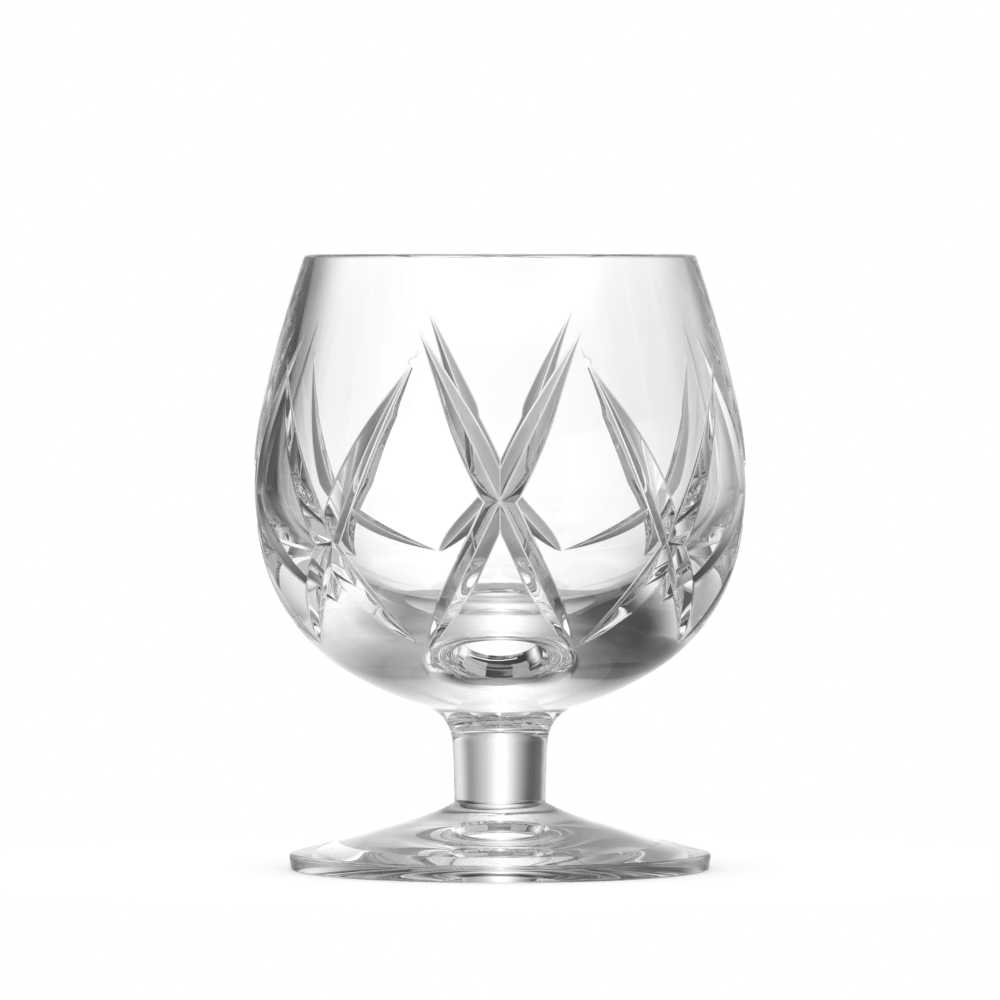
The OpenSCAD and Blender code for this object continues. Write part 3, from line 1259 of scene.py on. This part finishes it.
@dataclass(frozen=True)
class Piece(ABC):
    """Piece of the glass, named after its class.

    Args:
        outline: sizes of the whole glass.
        row_length: largest distance between two rows of points, in millimetres.
        row_turn: largest turn of an arc between two rows, in radians.
    """

    outline: Outline
    row_length: float = 1.5
    row_turn: float = 0.06

    def rows(self, path: Path) -> Array:
        """Distances down a path at which the piece has its rows of points."""
        return path.stations(self.row_turn, self.row_length)

    @abstractmethod
    def shell(self) -> Shell:
        """Makes the piece's mesh."""

    def build(self, materials: list[bpy.types.Material]) -> bpy.types.Object:
        """Makes the piece's object, with the finish of the glass and that of the fused faces."""
        return self.shell().build(type(self).__name__, materials)


@dataclass(frozen=True)
class Bowl(Piece):
    """Bowl with its rim, its hollow and its cut pattern."""

    unevenness: tuple[Wave, ...] = (Wave(3, 61.0, 0.02, 0.4), Wave(5, 23.0, 0.012, 2.0))
    hollow_unevenness: tuple[Wave, ...] = (Wave(2, 47.0, 0.03, 1.0), Wave(7, 19.0, 0.015, 0.3))
    row_gap: float = 0.3

    def shell(self) -> Shell:
        """Makes the mesh: skin, cut zone, hollow and the face fused to the stem.

        Returns:
            The bowl's mesh.
        """
        outside = CutSkin(self.outline.bowl_outside, self.unevenness, self.outline)
        inside = Skin(self.outline.bowl_inside, self.hollow_unevenness)
        shell, tile, rows = Shell(), Tile(outside), self.rows(outside.path)
        upper = np.append(rows[rows < tile.first - self.row_gap], tile.first)
        lower = np.append(tile.last, rows[rows > tile.last + self.row_gap])
        top, bottom = shell.rings(outside, upper), shell.rings(outside, lower)
        shell.cover(top)
        shell.add_tiles(outside, tile, top[-1], bottom[0])
        shell.cover(bottom)
        shell.close(bottom[-1], self.outline.join_height, Side.LEFT, Slot.JOIN)
        hollow = np.concatenate([top[:1], shell.rings(inside, self.rows(inside.path)[1:-1])])
        shell.cover(hollow, Side.RIGHT)
        shell.close(hollow[-1], self.outline.hollow_floor, Side.RIGHT)
        return shell


@dataclass(frozen=True)
class Stem(Piece):
    """Short solid stem, fused to the bowl above and to the foot below."""

    row_length: float = 0.8
    unevenness: tuple[Wave, ...] = (Wave(2, 9.0, 0.03, 0.0), Wave(3, 5.0, 0.02, 1.3))

    def shell(self) -> Shell:
        """Makes the mesh: its side and the two fused faces.

        Returns:
            The stem's mesh.
        """
        skin, shell = Skin(self.outline.stem_side, self.unevenness), Shell()
        rings = shell.rings(skin, self.rows(skin.path))
        shell.cover(rings)
        shell.close(rings[0], self.outline.join_height, Side.RIGHT, Slot.JOIN)
        shell.close(rings[-1], self.outline.foot_height, Side.LEFT, Slot.JOIN)
        return shell


@dataclass(frozen=True)
class Foot(Piece):
    """Conical foot with its shallow hollow underneath."""

    row_length: float = 1.2
    unevenness: tuple[Wave, ...] = (Wave(3, 17.0, 0.02, 0.5), Wave(4, 29.0, 0.02, 2.2))

    def shell(self) -> Shell:
        """Makes the mesh: its skin from the stem round the edge to the middle of the hollow.

        Returns:
            The foot's mesh.
        """
        skin, shell = Skin(self.outline.foot_skin, self.unevenness), Shell()
        rings = shell.rings(skin, self.rows(skin.path)[:-1])
        shell.cover(rings)
        shell.close(rings[0], self.outline.foot_height, Side.RIGHT, Slot.JOIN)
        shell.close(rings[-1], self.outline.foot_hollow_depth, Side.LEFT)
        return shell


@dataclass(frozen=True)
class Patch:
    """Part of the studio that a ray of the glass can meet, by direction in degrees.

    Args:
        middle: angle of its middle round the upright axis, from the +Y side towards +X.
        half: half its width.
        low: elevation of its lower edge.
        high: elevation of its upper edge.
        light: its brightness, where 1 is white.
        soft: width of its edges.
        folded: whether the same patch stands on the -X side too.
    """

    middle: float
    half: float
    low: float
    high: float
    light: float
    soft: float
    folded: bool = False

    def share(self, nodes: Nodes, around: Socket, above: Socket) -> Socket:
        """Share of the patch in what is seen in a direction.

        Args:
            nodes: node tree of the world.
            around: angle of the direction round the upright axis.
            above: its elevation.

        Returns:
            The share, from 0 outside the patch to 1 inside.
        """
        angle = nodes.math("ABSOLUTE", around) if self.folded else around
        turn = nodes.math("WRAP", nodes.math("SUBTRACT", angle, self.middle), 180.0, -180.0)
        edge = self.soft / 2
        wide = nodes.ramp(nodes.math("ABSOLUTE", turn), self.half + edge, self.half - edge)
        low = nodes.ramp(above, self.low - edge, self.low + edge)
        high = nodes.ramp(above, self.high + edge, self.high - edge)
        return nodes.math("MULTIPLY", wide, nodes.math("MULTIPLY", low, high))


@dataclass(frozen=True)
class Studio:
    """Patches of light and dark that the glass shows, a white floor and the camera.

    Args:
        patches: the patches, each laid over the ones before it.
        room: brightness of the room where there is no patch.
        plain_light: brightness of the light that falls on the floor.
        floor_reach: half the width of the floor, in metres.
        photo_width: width of the picture in pixels.
        lens_distance: distance from the lens to the glass's axis, in pixels of the picture.
        rim_row: row of the picture at the height of the rim and the lens.
        height_in_pixels: height of the glass in the picture.
        glass_height: its real height, in metres.
        sensor: width of the camera's sensor, in millimetres.
        sight: distance that the camera sees, in metres.
    """

    patches: tuple[Patch, ...] = (
        Patch(0.0, 200.0, -100.0, -50.0, 0.3, 10.0),  # dim floor right under the glass
        Patch(180.0, 55.0, -12.0, 12.0, 0.25, 8.0),  # dim band on the camera's side
        Patch(180.0, 60.0, 42.0, 80.0, 0.5, 8.0),  # soft light high on the camera's side
        Patch(-18.0, 45.0, -31.0, 110.0, 0.67, 44.0),  # grey sweep behind the glass
        Patch(66.0, 27.0, -17.0, 116.0, 1.08, 44.0, folded=True),  # white walls on both sides
        Patch(31.0, 6.0, -80.0, 8.0, 0.02, 26.0, folded=True),  # black bars low in the sweep
        Patch(50.0, 25.0, -12.0, -2.0, 0.84, 44.0),  # glow low on the right
        Patch(-42.0, 21.0, -20.0, 63.0, 0.08, 32.0),  # black screen on the left
        Patch(156.0, 67.0, 30.0, 35.0, 1.2, 4.0),  # narrow light over the camera
        Patch(164.0, 70.0, -21.0, -19.0, 0.22, 2.0),  # narrow light under the camera
        Patch(-132.0, 21.0, -49.0, 16.0, 0.4, 2.0),  # grey screen left of the camera
        Patch(116.0, 33.0, -38.0, 15.0, 0.55, 2.0),  # grey screen right of the camera
        Patch(-1.0, 7.0, -45.0, 102.0, 1.2, 17.0),  # upright light straight behind the glass
    )
    room: float = 0.02
    plain_light: float = 1.24
    floor_reach: float = 6.0
    photo_width: int = 1000
    lens_distance: float = 9170.0
    rim_row: float = 254.0
    height_in_pixels: float = 615.5
    glass_height: float = 0.12
    sensor: float = 36.0
    sight: float = 100.0

    def world(self) -> None:
        """Makes the world: white for the camera, the patches for the glass and plain light for the floor."""
        world = bpy.data.worlds.new("Studio")
        bpy.context.scene.world = world
        nodes = Nodes(world)
        way = nodes.add("ShaderNodeTexCoord").outputs["Generated"]
        x, y, z = nodes.add("ShaderNodeSeparateXYZ", {0: way}).outputs
        around = nodes.math("DEGREES", nodes.math("ARCTAN2", x, y))
        above = nodes.math("DEGREES", nodes.math("ARCSINE", z))
        light: object = self.room
        for patch in self.patches:
            light = nodes.mix(patch.share(nodes, around, above), light, patch.light)
        path = nodes.add("ShaderNodeLightPath").outputs
        glass = nodes.math("MAXIMUM", path["Is Glossy Ray"], path["Is Transmission Ray"])
        strength = nodes.mix(path["Is Camera Ray"], nodes.mix(glass, self.plain_light, light), 1.0)
        sky = nodes.add("ShaderNodeBackground", {"Color": grey(1.0), "Strength": strength})
        nodes.show(sky, "ShaderNodeOutputWorld")

    def floor(self) -> None:
        """Makes the floor: white, with the soft shadow of the glass round its foot."""
        near, far = -self.floor_reach, self.floor_reach
        mesh = bpy.data.meshes.new("Floor")
        corners = [(near, near, 0), (far, near, 0), (far, far, 0), (near, far, 0)]
        mesh.from_pydata(corners, [], [range(len(corners))])
        floor = link_object("Floor", mesh)
        floor.visible_glossy = floor.visible_transmission = False
        mesh.materials.append(WhiteFloor().material("White_floor"))

    def camera(self) -> None:
        """Makes the camera, level with the rim and far enough for the photograph's flat view."""
        camera = bpy.data.cameras.new("Camera")
        thing = link_object("Camera", camera)
        bpy.context.scene.camera = thing
        camera.sensor_width = self.sensor
        camera.lens = self.sensor * self.lens_distance / self.photo_width
        camera.clip_end = self.sight
        scale = self.glass_height / self.height_in_pixels
        tilt = math.atan((self.photo_width / 2 - self.rim_row) / self.lens_distance)
        thing.location = (0.0, -self.lens_distance * scale, self.glass_height)
        thing.rotation_euler = (math.pi / 2 - tilt, 0.0, 0.0)


def main() -> None:
    """Builds the three pieces of the glass, then the studio round them."""
    logging.basicConfig(level=logging.INFO, format="%(name)s: %(message)s")
    scene = bpy.context.scene
    scene.view_settings.view_transform = "Standard"
    scene.cycles.max_bounces = scene.cycles.glossy_bounces = BOUNCES
    scene.cycles.transmission_bounces = scene.cycles.transparent_max_bounces = BOUNCES
    outline, join = Outline(), FusedJoin().material("Fused_join")
    for part, node in ((Bowl(outline), "bowl"), (Stem(outline), "stem"), (Foot(outline), "foot")):
        piece = part.build([Crystal().material(f"Crystal_{node}"), join])
        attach(piece, BODY)
        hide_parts(node)
        log.info("%s: %d faces", piece.name, len(piece.data.polygons))
    studio = Studio()
    studio.world()
    studio.floor()
    studio.camera()


if __name__ == "__main__":
    main()
